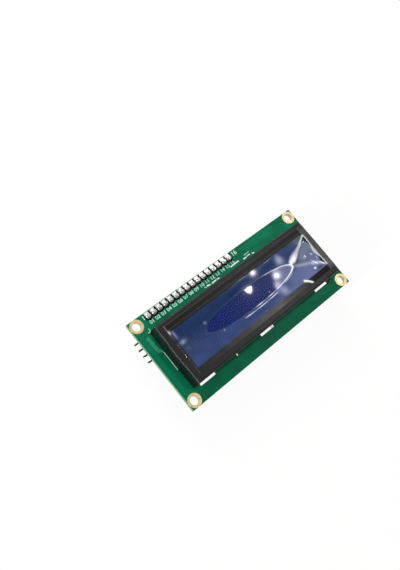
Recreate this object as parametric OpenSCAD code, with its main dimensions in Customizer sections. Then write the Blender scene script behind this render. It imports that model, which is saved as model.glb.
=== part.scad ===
// Character LCD module: a two-line display on its driver board, with a two-wire adapter board behind it.
// Frame: the origin is the middle of the four mounting holes on the main board's front face.
// +X runs along the long side away from pin 1, +Y towards the pin row, +Z out of the display.

/* [Main board] */
// Length of the main board
board_l = 80; // [78:0.5:90]
// Width of the main board
board_w = 36; // [35:0.5:42]
// Thickness of the main board
board_t = 1.6; // [1.2:0.1:2.0]
// Distance from the board's edges to the mounting hole centres
hole_edge = 2.5; // [2.4:0.1:3.0]
// Diameter of the mounting holes, inside their plating
hole_d = 3.2; // [2.5:0.1:3.4]
// Outer diameter of the plated rings round the mounting holes
ring_d = 5; // [4.4:0.1:5.4]
// Thickness of plating and copper pads
plate_t = 0.06; // [0.04:0.01:0.1]
// Diameter of the two keying holes beside the bezel
key_d = 1.1; // [0.8:0.1:1.4]

/* [Pin row] */
// Number of pins in the row
pin_count = 16; // [14:2:16]
// Distance between pins
pin_pitch = 2.54; // [2.5:0.01:2.6]
// Side of a square pin
pin_side = 0.64; // [0.5:0.02:0.7]
// Diameter of the pin holes in both boards
pin_hole_d = 1.1; // [1.0:0.05:1.2]
// Distance from the board's left edge to pin 1
pin_first = 8; // [7:0.25:9]
// Distance from the board's top edge to the pin row
pin_edge = 1.8; // [1.5:0.1:2.5]
// Length of pin beyond the main board's front face
pin_front = 1.4; // [1.2:0.1:3]
// Length of pin beyond the adapter board's rear face
pin_rear = 1.3; // [1.1:0.1:2]
// Height of the plastic strips
strip_h = 2.54; // [2.3:0.02:3]
// Width of the plastic strips
strip_w = 2.5; // [2.2:0.05:2.6]
// Depth of the notch between two positions of a strip
strip_notch = 0.45; // [0.2:0.05:0.6]

/* [Solder] */
// Radius of a joint's foot
joint_r = 0.95; // [0.7:0.05:1]
// Radius of a joint's top
joint_top_r = 0.52; // [0.46:0.02:0.6]
// Height of a joint
joint_h = 1; // [0.6:0.05:1.1]

/* [Bezel] */
// Offset of the display's centre from the board's centre along Y
display_y = -0.6; // [-1:0.1:0.5]
// Length of the bezel
bezel_l = 70.4; // [69.6:0.2:71]
// Width of the bezel
bezel_w = 23.5; // [23:0.1:24]
// Height of the bezel's face above the board
bezel_h = 7.1; // [6.4:0.1:9]
// Thickness of the bezel's sheet
bezel_t = 0.5; // [0.4:0.05:0.6]
// Outer radius of the bezel's folds
bezel_r = 0.8; // [0.7:0.05:1.1]
// Width of the open seam at each of the bezel's corners
seam_w = 0.16; // [0.1:0.02:0.3]
// Length of the window
window_l = 64.3; // [60:0.1:64.6]
// Width of the window
window_w = 14.8; // [13:0.1:15.4]
// Radius of the window's corners
window_r = 0.5; // [0.3:0.1:1]
// Length of the raised panel on each end wall
panel_l = 8.1; // [6:0.1:12]
// Height that the raised panels stand out
panel_out = 0.2; // [0.1:0.05:0.3]
// Distance of the outer tabs from the middle one
tab_pitch = 29; // [27:0.5:30]
// Width of a fixing tab
tab_w = 6.7; // [5:0.1:6.8]
// Length of tab behind the main board
tab_out = 1.5; // [1.2:0.1:1.6]
// Angle that the tabs are twisted through
tab_twist = 24; // [15:1:28]
// Length of a tab slot
slot_l = 7.2; // [7.1:0.1:7.6]
// Clearance from the bezel's wall to the inner side of a slot
slot_in = 0.2; // [0.1:0.05:0.3]
// Clearance from the bezel's wall to the outer side of a slot
slot_out = 0.85; // [0.6:0.05:1]
// Width of the bare pad beside each slot
slot_pad_w = 2.5; // [1.5:0.1:3]

/* [Display] */
// Thickness of each polariser
polar_t = 0.2; // [0.15:0.05:0.3]
// Thickness of each glass
glass_t = 1.1; // [0.7:0.1:1.1]
// Clearance between the glass and the bezel's walls
glass_gap = 0.3; // [0.2:0.05:0.5]
// Width of the contact ledge on the front glass
ledge_w = 2.3; // [2.1:0.1:2.6]
// Width of the rubber connectors under the ledges
zebra_w = 1.8; // [1.4:0.1:1.9]
// Distance from the glass's ends to the ends of the rubber connectors
zebra_inset = 2.2; // [1.5:0.1:4]
// Distance that the front polariser reaches past the window
polar_lap = 1.1; // [0.6:0.1:1.5]
// Thickness of the diffuser sheet
diffuser_t = 0.4; // [0.2:0.1:0.6]
// Thickness of the reflector sheet
reflector_t = 0.2; // [0.1:0.05:0.4]
// Thickness of the backlight frame's walls
light_wall = 1.1; // [0.8:0.1:1.3]
// Fitting clearance between the backlight's pieces
light_gap = 0.1; // [0.05:0.05:0.2]
// Number of lamps in the backlight
lamp_count = 3; // [2:1:5]
// Thickness of a lamp
lamp_t = 0.8; // [0.6:0.1:1.2]
// Thickness of the lamps' carrier strip
lamp_strip_t = 0.6; // [0.4:0.1:1]

/* [Protective film] */
// Length of the film
film_l = 67.6; // [66.4:0.1:67.8]
// Width of the film
film_w = 19.5; // [17:0.1:20]
// Offset of the film along X from the display's centre
film_x = 1.1; // [0.8:0.1:1.2]
// Offset of the film along Y from the display's centre
film_y = 0.3; // [0:0.1:0.6]
// Thickness of the film
film_t = 0.1; // [0.06:0.02:0.12]
// Clearance under the film
film_gap = 0.03; // [0.02:0.01:0.05]
// Length of the patch where the film lies on the display
patch_l = 42; // [30:1:50]
// Width of the patch where the film lies on the display
patch_w = 8; // [6:0.5:11]
// Height of the creases at the film's loose end
crease_h = 0.45; // [0.2:0.05:0.6]
// Width of the creases
crease_w = 1.5; // [1:0.1:2.5]

/* [Chips under resin] */
// Radius of the resin over the controller chip
controller_r = 7.6; // [6:0.1:7.8]
// Radius of the resin over the driver chip
driver_r = 5.8; // [5:0.1:6.2]
// Height of the resin over each chip
resin_h = 1.1; // [0.8:0.1:1.4]

/* [Adapter board] */
// Length of the adapter board
adapter_l = 41.8; // [41.4:0.1:44]
// Width of the adapter board
adapter_w = 19; // [18.8:0.1:20]
// Thickness of the adapter board
adapter_t = 1.6; // [1.2:0.1:2]
// Distance from pin 1 to the adapter board's end
adapter_end = 2.1; // [1.8:0.1:2.2]
// Distance from the pin row to the adapter board's top edge
adapter_edge = 2.1; // [1.7:0.1:2.3]

/* [Expander chip] */
// Length of the chip's body
chip_l = 10.3; // [10.1:0.1:10.5]
// Width of the chip's body
chip_w = 7.5; // [7.2:0.1:7.6]
// Height of the chip's body
chip_h = 2.3; // [2.0:0.1:2.5]
// Clearance under the chip's body
chip_lift = 0.15; // [0.1:0.05:0.3]
// Distance between the chip's leads
lead_pitch = 1.27; // [1.2:0.01:1.27]
// Width of a lead
lead_w = 0.42; // [0.35:0.01:0.5]
// Thickness of a lead
lead_t = 0.25; // [0.2:0.01:0.3]
// Span from lead tip to lead tip
lead_span = 10.3; // [10:0.1:10.6]
// Span of the solder pads under the leads
pad_span = 13.2; // [12:0.1:13.2]
// Width of a solder pad under a lead
pad_w = 0.7; // [0.6:0.02:0.8]

/* [Contrast trimmer] */
// Length of the trimmer's body along X
trimmer_l = 6.6; // [6.4:0.1:7]
// Width of the trimmer's body along Y
trimmer_w = 7; // [6.6:0.1:7.2]
// Height of the trimmer above the adapter board
trimmer_h = 4.9; // [4.5:0.1:5.5]
// Height of the feet under the trimmer's body
trimmer_foot = 0.4; // [0.3:0.1:0.6]
// Thickness of the trimmer's base plate
trimmer_base_t = 0.8; // [0.6:0.1:1]
// Radius of the dial on the rotor
dial_r = 1.55; // [1.3:0.05:1.8]
// Width of the slots across the dial
dial_slot = 0.55; // [0.4:0.05:0.7]
// Depth of the slots across the dial
dial_slot_h = 0.6; // [0.4:0.05:0.8]
// Thickness of the dial
dial_t = 1.1; // [0.9:0.1:1.3]
// Depth of the dial below the trimmer's face
dial_sink = 0.1; // [0.05:0.05:0.3]
// Radius of the rotor's flange inside the body
flange_r = 2.3; // [2.1:0.1:2.5]
// Thickness of the rotor's flange
flange_t = 0.9; // [0.6:0.1:1.1]
// Running clearance round the rotor
run_gap = 0.06; // [0.04:0.01:0.1]

/* [Angled headers] */
// Number of pins in the cable header
cable_pins = 4; // [4:1:4]
// Length of pin from the bend's end to the tip on the cable header
cable_reach = 6.2; // [5:0.1:7]
// Radius of the pins' bend, at the middle of the pin
bend_r = 1.1; // [0.8:0.05:1.2]
// Length of pin that stands out in front of the adapter board
stub = 0.8; // [0.6:0.05:0.9]
// Reach of the jumper's pins past their bend
jumper_reach = 5.4; // [5:0.1:5.5]

/* [Jumper cap] */
// Length of the cap along the pins
cap_l = 6; // [5.8:0.1:6.4]
// Width of the cap across both pins
cap_w = 5; // [4.9:0.05:5.06]
// Thickness of the cap
cap_t = 2.4; // [2.2:0.1:2.5]
// Distance from the bend to the cap when it is pushed on
cap_stand = 0.6; // [0.3:0.1:0.8]
// Clearance between a pin and the cap's metal contact
cap_gap = 0.04; // [0.02:0.01:0.1]
// Thickness of the contact's sheet
contact_t = 0.25; // [0.2:0.01:0.3]

/* [Hidden] */
$fn = 40;
eps = 0.01;

hole_x = board_l / 2 - hole_edge;
hole_y = board_w / 2 - hole_edge;
pin_x = -board_l / 2 + pin_first;
pin_y = board_w / 2 - pin_edge;
rear_z = -board_t;
adapter_z = rear_z - strip_h;
adapter_rear = adapter_z - adapter_t;

// heights in the display, counted down from the bezel's sheet
polar_z = bezel_h - bezel_t - polar_t;
glass_z = polar_z - glass_t;
rear_glass_z = glass_z - glass_t;
light_z = rear_glass_z - polar_t;
glass_l = bezel_l - 2 * (bezel_t + glass_gap);
glass_w = bezel_w - 2 * (bezel_t + glass_gap);
rear_glass_w = glass_w - 2 * ledge_w;
light_w = rear_glass_w - 2 * light_gap;
light_in_l = glass_l - 2 * light_wall;
light_in_w = light_w - 2 * light_wall;
guide_l = light_in_l - 3 * light_gap - lamp_t - lamp_strip_t;

// tab slots, as distances from the display's centre line
wall_y = bezel_w / 2;
slot_inner = wall_y - bezel_t - slot_in;
slot_outer = wall_y + slot_out;
tab_xs = [-tab_pitch, 0, tab_pitch];
key_x = 15;
key_out = 0.3;

// places on the adapter board, from pin 1 along X and from the pin row along Y
chip_at = [pin_x + 18.6, pin_y - 7.7];
trimmer_at = [pin_x + 7.2, pin_y - 6.4];
cable_at = [pin_x - 0.2, pin_y - 8.15];
jumper_at = [pin_x + 38.5, pin_y - 7.15];
address_at = [pin_x + 4.6, pin_y - 14.1];
address_pitch = 2.45;
led_at = [pin_x + 28.2, pin_y - 5.7];
small_cap_at = [pin_x + 30.6, pin_y - 5.7];
big_cap_at = [pin_x + 35.2, pin_y - 11];
transistor_at = [pin_x + 34.4, pin_y - 6];
pull_up_at = [for (i = [0:2]) [pin_x + 27.5 + 2.65 * i, pin_y - 12]];
low_row_at = [for (x = [18.1, 21.95, 26.5, 30]) [pin_x + x, pin_y - 15.1]];
foot_t = 0.5;
part_l = 2.0;
part_w = 1.25;
part_h = 0.5;
part_end = 0.4;
led_h = 0.8;
dial_z = adapter_rear - trimmer_h + dial_sink;
bend_z = adapter_rear - strip_h - bend_r;
cap_x = jumper_at[0] + bend_r + cap_stand;

// ---- shared shapes

module hole(r, z0, z1) {
  translate([0, 0, z0 - 1]) cylinder(r = r, h = z1 - z0 + 2);
}

module block(size, z) {
  translate([-size[0] / 2, -size[1] / 2, z]) cube(size);
}

module pad(at, l, w, z = adapter_rear) {
  translate([at[0], at[1], z - plate_t]) translate([-l / 2, -w / 2, 0]) cube([l, w, plate_t]);
}

module at_mounting_holes() {
  for (sx = [-1, 1]) for (sy = [-1, 1]) translate([sx * hole_x, sy * hole_y, 0]) children();
}

module at_pins() {
  for (i = [0:pin_count - 1]) translate([pin_x + i * pin_pitch, pin_y, 0]) children();
}

module at_slots() {
  for (x = tab_xs) {
    translate([x, display_y, 0]) children();
    translate([x, display_y, 0]) mirror([0, 1, 0]) children();
  }
}

// a turned solder joint with a hollow flank round a square pin, growing upwards from z = 0
module joint() {
  difference() {
    rotate_extrude() difference() {
      square([joint_r, joint_h]);
      translate([joint_r + 0.12, joint_h + 0.12])
        scale([1, 1]) circle(r = joint_r + 0.12 - joint_top_r, $fn = 32);
    }
    block([pin_side, pin_side, joint_h + 2], -1);
  }
}

// a square pin along +Z from 0 to l, with a turned chamfer at its far end
module pin_end(l, tip = 0.3) {
  intersection() {
    block([pin_side, pin_side, l], 0);
    union() {
      cylinder(r = pin_side, h = l - tip);
      translate([0, 0, l - tip - eps]) cylinder(r1 = pin_side * 0.75, r2 = pin_side * 0.38, h = tip + eps);
    }
  }
}

// plastic strip of n positions along X, from z = 0 up to strip_h, with a notch between positions
module strip(n) {
  difference() {
    block([n * pin_pitch, strip_w, strip_h], 0);
    for (i = [0:n]) for (s = [-1, 1])
      translate([(i - n / 2) * pin_pitch, s * strip_w / 2, -1])
        rotate(45) cube([strip_notch * 1.414, strip_notch * 1.414, 2 * strip_h + 2], center = true);
    for (i = [0:n]) for (s = [-1, 1])
      translate([(i - n / 2) * pin_pitch, s * strip_w / 2, strip_h / 2])
        rotate(45) cube([strip_notch * 1.414, strip_notch * 1.414, strip_h + 2], center = true);
    for (i = [0:n - 1]) translate([(i - (n - 1) / 2) * pin_pitch, 0, 0])
      block([pin_side, pin_side, strip_h + 2], -1);
  }
}

// a pin that stands on the adapter board and bends over towards +X; its vertical part is at the origin
module bent_pin(reach) {
  translate([0, 0, bend_z + bend_r]) {
    block([pin_side, pin_side, -(bend_z + bend_r) + adapter_z + stub], 0);
    translate([bend_r, 0, 0]) rotate([90, 0, 0]) rotate([0, 0, 180])
      rotate_extrude(angle = 90) translate([bend_r, 0]) square(pin_side, center = true);
    translate([bend_r, 0, -bend_r]) rotate([0, 90, 0]) pin_end(reach);
  }
}

module at_cable_pins() {
  for (i = [0:cable_pins - 1])
    translate([cable_at[0], cable_at[1] + (i - (cable_pins - 1) / 2) * pin_pitch, 0]) children();
}

module at_jumper_pins() {
  for (s = [-0.5, 0.5]) translate([jumper_at[0], jumper_at[1] + s * pin_pitch, 0]) children();
}

// a chip part along X on a face at height z, growing towards -Z
module chip_part(h, z) {
  translate([-part_l / 2 + part_end, -part_w / 2, z - plate_t - h]) cube([part_l - 2 * part_end, part_w, h]);
}

// the two tinned ends of a chip part with their solder, seen from the side as a ramp
module chip_ends(h, z) {
  for (s = [0, 1]) mirror([s, 0, 0])
    translate([part_l / 2 - part_end, part_w / 2, z - plate_t]) rotate([90, 0, 0])
      linear_extrude(part_w) polygon([
        [0, 0], [part_end + foot_t, 0], [part_end + foot_t * 0.4, -h * 0.45],
        [part_end, -h - 0.02], [0, -h - 0.02]
      ]);
}

// ---- main board

module main_board() {
  color("seagreen") difference() {
    block([board_l, board_w, board_t], rear_z);
    at_mounting_holes() hole(hole_d / 2 + plate_t, rear_z, 0);
    at_pins() hole(pin_hole_d / 2, rear_z, 0);
    at_slots() translate([-slot_l / 2, slot_inner, rear_z - 1])
      cube([slot_l, slot_outer - slot_inner, board_t + 2]);
    for (s = [-1, 1]) translate([s * key_x, display_y + s * (wall_y + key_out), 0])
      hole(key_d / 2, rear_z, 0);
    for (p = lamp_pads) translate(p) hole(lamp_hole_r, rear_z, 0);
    for (p = vias) translate(p) hole(via_hole_r, rear_z, 0);
  }
}

// plated rings on both faces, joined by the barrel in each hole
module mounting_rings() {
  color("khaki") at_mounting_holes() difference() {
    union() {
      translate([0, 0, rear_z]) cylinder(r = hole_d / 2 + plate_t, h = board_t);
      cylinder(r = ring_d / 2, h = plate_t);
      translate([0, 0, rear_z - plate_t]) cylinder(r = ring_d / 2, h = plate_t);
    }
    hole(hole_d / 2, rear_z, 0);
  }
}

// bare pad on the rear face beside each slot
module slot_pads() {
  color("khaki") at_slots()
    translate([-slot_l / 2, slot_inner - slot_pad_w, rear_z - plate_t]) cube([slot_l, slot_pad_w, plate_t]);
}

lamp_pads = [[board_l / 2 - 1.4, 3.3], [board_l / 2 - 1.4, -4.6]];
lamp_pad_w = 2.1;
lamp_hole_r = 0.5;
vias = [[board_l / 2 - 3.8, 0.5], [board_l / 2 - 3.8, -2.1]];
via_r = 1;
via_hole_r = 0.45;
spare_x = 29.2;
spare_w = 4;
spare_pads = concat(
  [for (i = [0:3]) for (s = [-1, 1]) [spare_x + s * 3, 3.4 - i * lead_pitch, 1.8, 0.75]],
  [for (s = [-1, 1]) [spare_x - 0.9 + s * 0.85, 5.4, 1.3, 1.4]],
  [for (s = [-1, 1]) [spare_x + 0.2 + s * 2, -2.9, 1.8, 2]],
  [for (s = [-1, 1]) [spare_x + 0.2 + s * 2, -6.5, 1.8, 2.4]],
  [for (s = [-1, 1]) [-22.3 + s * 1, -6.4, 1.4, 1.5]]
);

// pads on the rear face that no part is fitted to
module board_pads() {
  color("khaki") {
    for (p = spare_pads) pad([p[0], p[1]], p[2], p[3], rear_z);
    for (p = lamp_pads) difference() {
      pad(p, lamp_pad_w, lamp_pad_w, rear_z);
      translate(p) hole(lamp_hole_r, rear_z, 0);
    }
    for (p = vias) translate([p[0], p[1], rear_z - plate_t]) difference() {
      cylinder(r = via_r, h = plate_t);
      translate([0, 0, -1]) cylinder(r = via_hole_r, h = 3);
    }
  }
}

board_resistor_at = [[20, 12.5], [-30.6, -6.5]];

module board_resistors() {
  color("dimgray") for (p = board_resistor_at) translate(p) chip_part(part_h, rear_z);
}

module board_resistor_ends() {
  color("silver") for (p = board_resistor_at) {
    translate(p) chip_ends(part_h, rear_z);
    for (s = [-1, 1]) pad([p[0] + s * (part_l / 2 + 0.1), p[1]], 2 * part_end + 2 * foot_t - 0.2, part_w + 0.2, rear_z);
  }
}

// ---- bezel

// section of a folded tray along one side: half span, height and outer radius of its folds
module tray(half, h, r) {
  union() {
    translate([-half, -1]) square([2 * half, h + 1 - r]);
    translate([-half + r, 0]) square([2 * (half - r), h]);
    for (s = [-1, 1]) translate([s * (half - r), h - r]) circle(r = r);
  }
}

module tray_solid(half_l, half_w, h, r) {
  intersection() {
    translate([-half_l - 1, 0, 0]) rotate([90, 0, 90]) linear_extrude(2 * half_l + 2) tray(half_w, h, r);
    translate([0, half_w + 1, 0]) rotate([90, 0, 0]) linear_extrude(2 * half_w + 2) tray(half_l, h, r);
    translate([-half_l - 2, -half_w - 2, 0]) cube([2 * half_l + 4, 2 * half_w + 4, h + 2]);
  }
}

module end_panel() {
  for (s = [0, 1]) mirror([s, 0, 0]) intersection() {
    translate([0, panel_l / 2, 0]) rotate([90, 0, 0]) linear_extrude(panel_l)
      tray(bezel_l / 2 + panel_out, bezel_h, bezel_r);
    translate([bezel_l / 2 - bezel_r, -panel_l, 0]) cube([bezel_r + panel_out + 1, 2 * panel_l, bezel_h + 1]);
  }
}

module window() {
  w = window_w / 2 - window_r;
  l = window_l / 2 - window_r;
  translate([-l, -window_w / 2, bezel_h / 2]) cube([2 * l, window_w, bezel_h]);
  translate([-window_l / 2, -w, bezel_h / 2]) cube([window_l, 2 * w, bezel_h]);
  for (sx = [-1, 1]) for (sy = [-1, 1])
    translate([sx * l, sy * w, bezel_h / 2]) cylinder(r = window_r, h = bezel_h);
}

// one tab: straight through the slot, then twisted inwards behind the board about its left edge
module tab() {
  straight = board_t + plate_t + 0.1;
  translate([0, wall_y - bezel_t / 2, 0]) {
    translate([-tab_w / 2, -bezel_t / 2, -straight]) cube([tab_w, bezel_t, straight]);
    translate([-tab_w / 2, 0, -straight]) mirror([0, 0, 1])
      linear_extrude(tab_out - plate_t - 0.1, twist = tab_twist, slices = 5, segments = 4)
        translate([0, -bezel_t / 2]) square([tab_w, bezel_t]);
  }
}

module bezel() {
  color([0.14, 0.14, 0.15]) {
    translate([0, display_y, 0]) difference() {
      union() {
        tray_solid(bezel_l / 2, bezel_w / 2, bezel_h, bezel_r);
        end_panel();
      }
      tray_solid(bezel_l / 2 - bezel_t, bezel_w / 2 - bezel_t, bezel_h - bezel_t, bezel_r - bezel_t);
      window();
      for (sx = [-1, 1]) for (sy = [-1, 1])
        translate([sx * (bezel_l / 2 - bezel_t - seam_w / 2) - seam_w / 2, sy > 0 ? wall_y - bezel_t : -wall_y - 1, -1])
          cube([seam_w, bezel_t + 1, bezel_h + 1 - bezel_r]);
    }
    translate([0, display_y, 0]) for (x = tab_xs) {
      translate([x, 0, 0]) tab();
      translate([x, 0, 0]) rotate(180) tab();
    }
  }
}

// ---- protective film

function clamp01(v) = min(1, max(0, v));
function ease(v) = v * v * (3 - 2 * v);
function seg_d(p, a, b) =
  let (t = clamp01(((p - a) * (b - a)) / ((b - a) * (b - a)))) norm(p - a - t * (b - a));
function crease(p, a, b) = pow(max(0, 1 - seg_d(p, a, b) / crease_w), 2);

// how far the film has climbed from the display's face (0) to the bezel's face (1)
function climb(x, y) =
  let (
    m = max(abs(x) / (window_l / 2), abs(y) / (window_w / 2)),
    e = norm([x / (patch_l / 2), y / (patch_w / 2)])
  )
  m >= 1 ? 1 : e <= 1 ? 0 : ease(clamp01((e - 1) / (e / m - 1)));

function film_z(x, y) =
  let (
    low = bezel_h - bezel_t,
    tip = [patch_l / 2, 0],
    up = [window_l / 2, window_w * 0.44],
    down = [window_l / 2, -window_w * 0.46],
    lift = crease([x, y], tip, up) + 0.8 * crease([x, y], tip, down) + 0.6 * crease([x, y], up, down)
  )
  film_gap + film_t + low + bezel_t * climb(x, y) + crease_h * min(1, lift) * clamp01((x - patch_l / 2 + 2) / 4);

// grid lines of the film: its edges, the window's edges and even steps between
function lines(lo, w_lo, n, w_hi, hi) =
  concat([lo], [for (i = [0:n]) w_lo + (w_hi - w_lo) * i / n], [(w_hi + hi) / 2, hi]);

film_xs = lines(film_x - film_l / 2, -window_l / 2, 44, window_l / 2, film_x + film_l / 2);
film_ys = lines(film_y - film_w / 2, -window_w / 2, 16, window_w / 2, film_y + film_w / 2);

module protective_film() {
  nx = len(film_xs);
  ny = len(film_ys);
  top = [for (x = film_xs) for (y = film_ys) [x, y, film_z(x, y)]];
  under = [for (p = top) [p[0], p[1], p[2] - film_t]];
  n = nx * ny;
  // the rim as one loop of indices round the grid
  rim = concat(
    [for (j = [0:ny - 2]) j],
    [for (i = [0:nx - 2]) i * ny + ny - 1],
    [for (j = [ny - 1:-1:1]) (nx - 1) * ny + j],
    [for (i = [nx - 1:-1:1]) i * ny]
  );
  k = len(rim);
  faces = concat(
    [for (i = [0:nx - 2]) for (j = [0:ny - 2]) let (a = i * ny + j) each [[a, a + 1, a + ny + 1], [a, a + ny + 1, a + ny]]],
    [for (i = [0:nx - 2]) for (j = [0:ny - 2]) let (a = n + i * ny + j) each [[a, a + ny + 1, a + 1], [a, a + ny, a + ny + 1]]],
    [for (i = [0:k - 1]) let (a = rim[i], b = rim[(i + 1) % k]) each [[a, a + n, b], [b, a + n, b + n]]]
  );
  color([0.7, 0.75, 0.85, 0.4]) translate([0, display_y, 0]) polyhedron(concat(top, under), faces);
}

// ---- display and backlight, from the bezel's sheet down to the board

module front_polariser() {
  color([0.12, 0.16, 0.42]) translate([0, display_y, 0])
    block([window_l + 2 * polar_lap, window_w + 2 * polar_lap, polar_t], polar_z);
}

module front_glass() {
  color([0.6, 0.75, 0.8, 0.5]) translate([0, display_y, 0]) block([glass_l, glass_w, glass_t], glass_z);
}

module rear_glass() {
  color([0.55, 0.7, 0.8, 0.5]) translate([0, display_y, 0]) block([glass_l, rear_glass_w, glass_t], rear_glass_z);
}

module rear_polariser() {
  color([0.2, 0.25, 0.4]) translate([0, display_y, 0])
    block([glass_l - 2 * polar_lap, rear_glass_w - polar_lap, polar_t], light_z);
}

module zebra_strips() {
  color("lightpink") for (s = [-1, 1])
    translate([0, display_y + s * (rear_glass_w / 2 + light_gap + zebra_w / 2), 0])
      block([glass_l - 2 * zebra_inset, zebra_w, glass_z], 0);
}

module diffuser_sheet() {
  color("white") translate([-(lamp_t + lamp_strip_t) / 2 - light_gap, display_y, 0])
    block([guide_l, light_in_w - 2 * light_gap, diffuser_t], light_z - diffuser_t);
}

module light_guide() {
  color([0.85, 0.93, 0.97, 0.7]) translate([-(lamp_t + lamp_strip_t) / 2 - light_gap, display_y, 0])
    block([guide_l, light_in_w - 2 * light_gap, light_z - diffuser_t - reflector_t], reflector_t);
}

module reflector_sheet() {
  color("whitesmoke") translate([0, display_y, 0])
    block([light_in_l - 2 * light_gap, light_in_w - 2 * light_gap, reflector_t], 0);
}

module light_frame() {
  color("ivory") translate([0, display_y, 0]) difference() {
    block([glass_l, light_w, light_z], 0);
    block([light_in_l, light_in_w, light_z + 2], -1);
  }
}

module lamp_strip() {
  color("beige") translate([light_in_l / 2 - lamp_strip_t / 2, display_y, 0])
    block([lamp_strip_t, light_in_w - 2 * light_gap, light_z - reflector_t - light_gap], reflector_t);
}

module lamps() {
  step = light_in_w / lamp_count;
  color("lemonchiffon") for (i = [0:lamp_count - 1])
    translate([light_in_l / 2 - lamp_strip_t - lamp_t / 2, display_y + (i - (lamp_count - 1) / 2) * step, 0])
      block([lamp_t, 2.6, 1.4], reflector_t + (light_z - reflector_t) / 2 - 0.7);
}

// ---- chips under resin

module resin(r) {
  ball = (r * r + resin_h * resin_h) / (2 * resin_h);
  translate([0, 0, rear_z]) mirror([0, 0, 1]) rotate_extrude($fn = 64) intersection() {
    translate([0, resin_h - ball]) circle(r = ball, $fn = 360);
    square([r + 1, resin_h + 1]);
  }
}

module controller_resin() {
  color([0.1, 0.09, 0.1]) translate([-12.8, 0.7, 0]) resin(controller_r);
}

module driver_resin() {
  color([0.1, 0.09, 0.1]) translate([13.3, 0.7, 0]) resin(driver_r);
}

// ---- pin row

module pin_strip() {
  color([0.1, 0.1, 0.1]) translate([pin_x + (pin_count - 1) * pin_pitch / 2, pin_y, adapter_z]) strip(pin_count);
}

module pins() {
  color("gold") at_pins() {
    pin_end(pin_front);
    mirror([0, 0, 1]) pin_end(-adapter_rear + pin_rear);
  }
}

module front_joints() {
  color("silver") at_pins() joint();
}

module rear_joints() {
  color("silver") at_pins() translate([0, 0, adapter_rear]) mirror([0, 0, 1]) joint();
}

// ---- adapter board

module at_trimmer_legs() {
  for (p = [[-pin_pitch, -pin_pitch], [0, pin_pitch], [pin_pitch, -pin_pitch]])
    translate([trimmer_at[0] + p[0] * 0.9, trimmer_at[1] + p[1] * 0.9, 0]) children();
}

module adapter_board() {
  color([0.13, 0.13, 0.15]) difference() {
    translate([pin_x - adapter_end, pin_y + adapter_edge - adapter_w, adapter_rear])
      cube([adapter_l, adapter_w, adapter_t]);
    at_pins() hole(pin_hole_d / 2, adapter_rear, adapter_z);
    at_cable_pins() hole(pin_hole_d / 2, adapter_rear, adapter_z);
    at_jumper_pins() hole(pin_hole_d / 2, adapter_rear, adapter_z);
    at_trimmer_legs() hole(leg_r + 0.1, adapter_rear, adapter_z);
  }
}

address_pad = [1.5, 0.9];
address_gap = 0.6;

// tinned pads: under the chip's leads, and the three pairs that set the address
module adapter_pads() {
  color("silver") {
    for (s = [-1, 1]) for (i = [0:7])
      pad([chip_at[0] + s * (pad_span / 2 + chip_w / 2 + 0.3) / 2, chip_at[1] + (i - 3.5) * lead_pitch],
        (pad_span - chip_w) / 2 - 0.3, pad_w);
    for (i = [0:2]) for (s = [-1, 1])
      pad([address_at[0] + i * address_pitch, address_at[1] + s * (address_pad[1] + address_gap) / 2],
        address_pad[0], address_pad[1]);
  }
}

// joints on the adapter board's front face, round the stubs of the angled headers and the trimmer
module under_joints() {
  color("silver") {
    at_cable_pins() translate([0, 0, adapter_z]) low_joint(pin_side);
    at_jumper_pins() translate([0, 0, adapter_z]) low_joint(pin_side);
    at_trimmer_legs() translate([0, 0, adapter_z]) difference() {
      cylinder(r1 = joint_r, r2 = leg_r + 0.1, h = stub * 0.8);
      translate([0, 0, -1]) cylinder(r = leg_r, h = 3);
    }
  }
}

module low_joint(side) {
  difference() {
    cylinder(r1 = joint_r, r2 = side * 0.75, h = stub * 0.8);
    block([side, side, 4], -1);
  }
}

// ---- expander chip

lead_z = adapter_rear - plate_t;
shoulder_z = lead_z - chip_lift - chip_h / 2;
draft = 0.28;

// moulded body with drafted sides, a long bevel and a dimple by pin 1
module expander_chip() {
  top = lead_z - chip_lift - chip_h;
  half = chip_h / 2;
  color([0.17, 0.17, 0.16]) translate([chip_at[0], chip_at[1], 0]) difference() {
    intersection() {
      translate([0, chip_l / 2 + 1, top]) rotate([90, 0, 0]) linear_extrude(chip_l + 2) polygon([
        [-chip_w / 2 + draft + 0.45, 0], [chip_w / 2 - draft, 0], [chip_w / 2, half],
        [chip_w / 2 - draft, chip_h], [-chip_w / 2 + draft, chip_h], [-chip_w / 2, half],
        [-chip_w / 2 + 0.16, half - 0.7]
      ]);
      translate([-chip_w / 2 - 1, 0, top]) rotate([90, 0, 90]) linear_extrude(chip_w + 2) polygon([
        [-chip_l / 2 + draft, 0], [chip_l / 2 - draft, 0], [chip_l / 2, half],
        [chip_l / 2 - draft, chip_h], [-chip_l / 2 + draft, chip_h], [-chip_l / 2, half]
      ]);
    }
    translate([-chip_w / 2 + 1.5, chip_l / 2 - 1.4, top - 1]) cylinder(r = 0.5, h = 1.12);
  }
}

// gull-wing leads: out of the body's middle, down, and flat on the pad
module expander_leads() {
  out = lead_span / 2;
  side = chip_w / 2;
  foot = 0.75;
  color("silver") translate([chip_at[0], chip_at[1], 0]) for (s = [0, 1]) mirror([s, 0, 0]) for (i = [0:7])
    translate([0, (i - 3.5) * lead_pitch + lead_w / 2, 0]) rotate([90, 0, 0]) linear_extrude(lead_w) polygon([
      [side, shoulder_z - lead_t / 2], [side + 0.5, shoulder_z - lead_t / 2],
      [side + 0.5 + lead_t * 0.7, lead_z - lead_t], [out, lead_z - lead_t], [out, lead_z],
      [out - foot, lead_z], [out - foot - 0.1, lead_z - lead_t * 0.5],
      [side + 0.32, shoulder_z + lead_t / 2], [side, shoulder_z + lead_t / 2]
    ]);
}

// ---- contrast trimmer

leg_r = 0.3;
tick_n = 8;
hub_r = 1.2;
trimmer_base_z = adapter_rear - trimmer_foot - trimmer_base_t;

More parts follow.
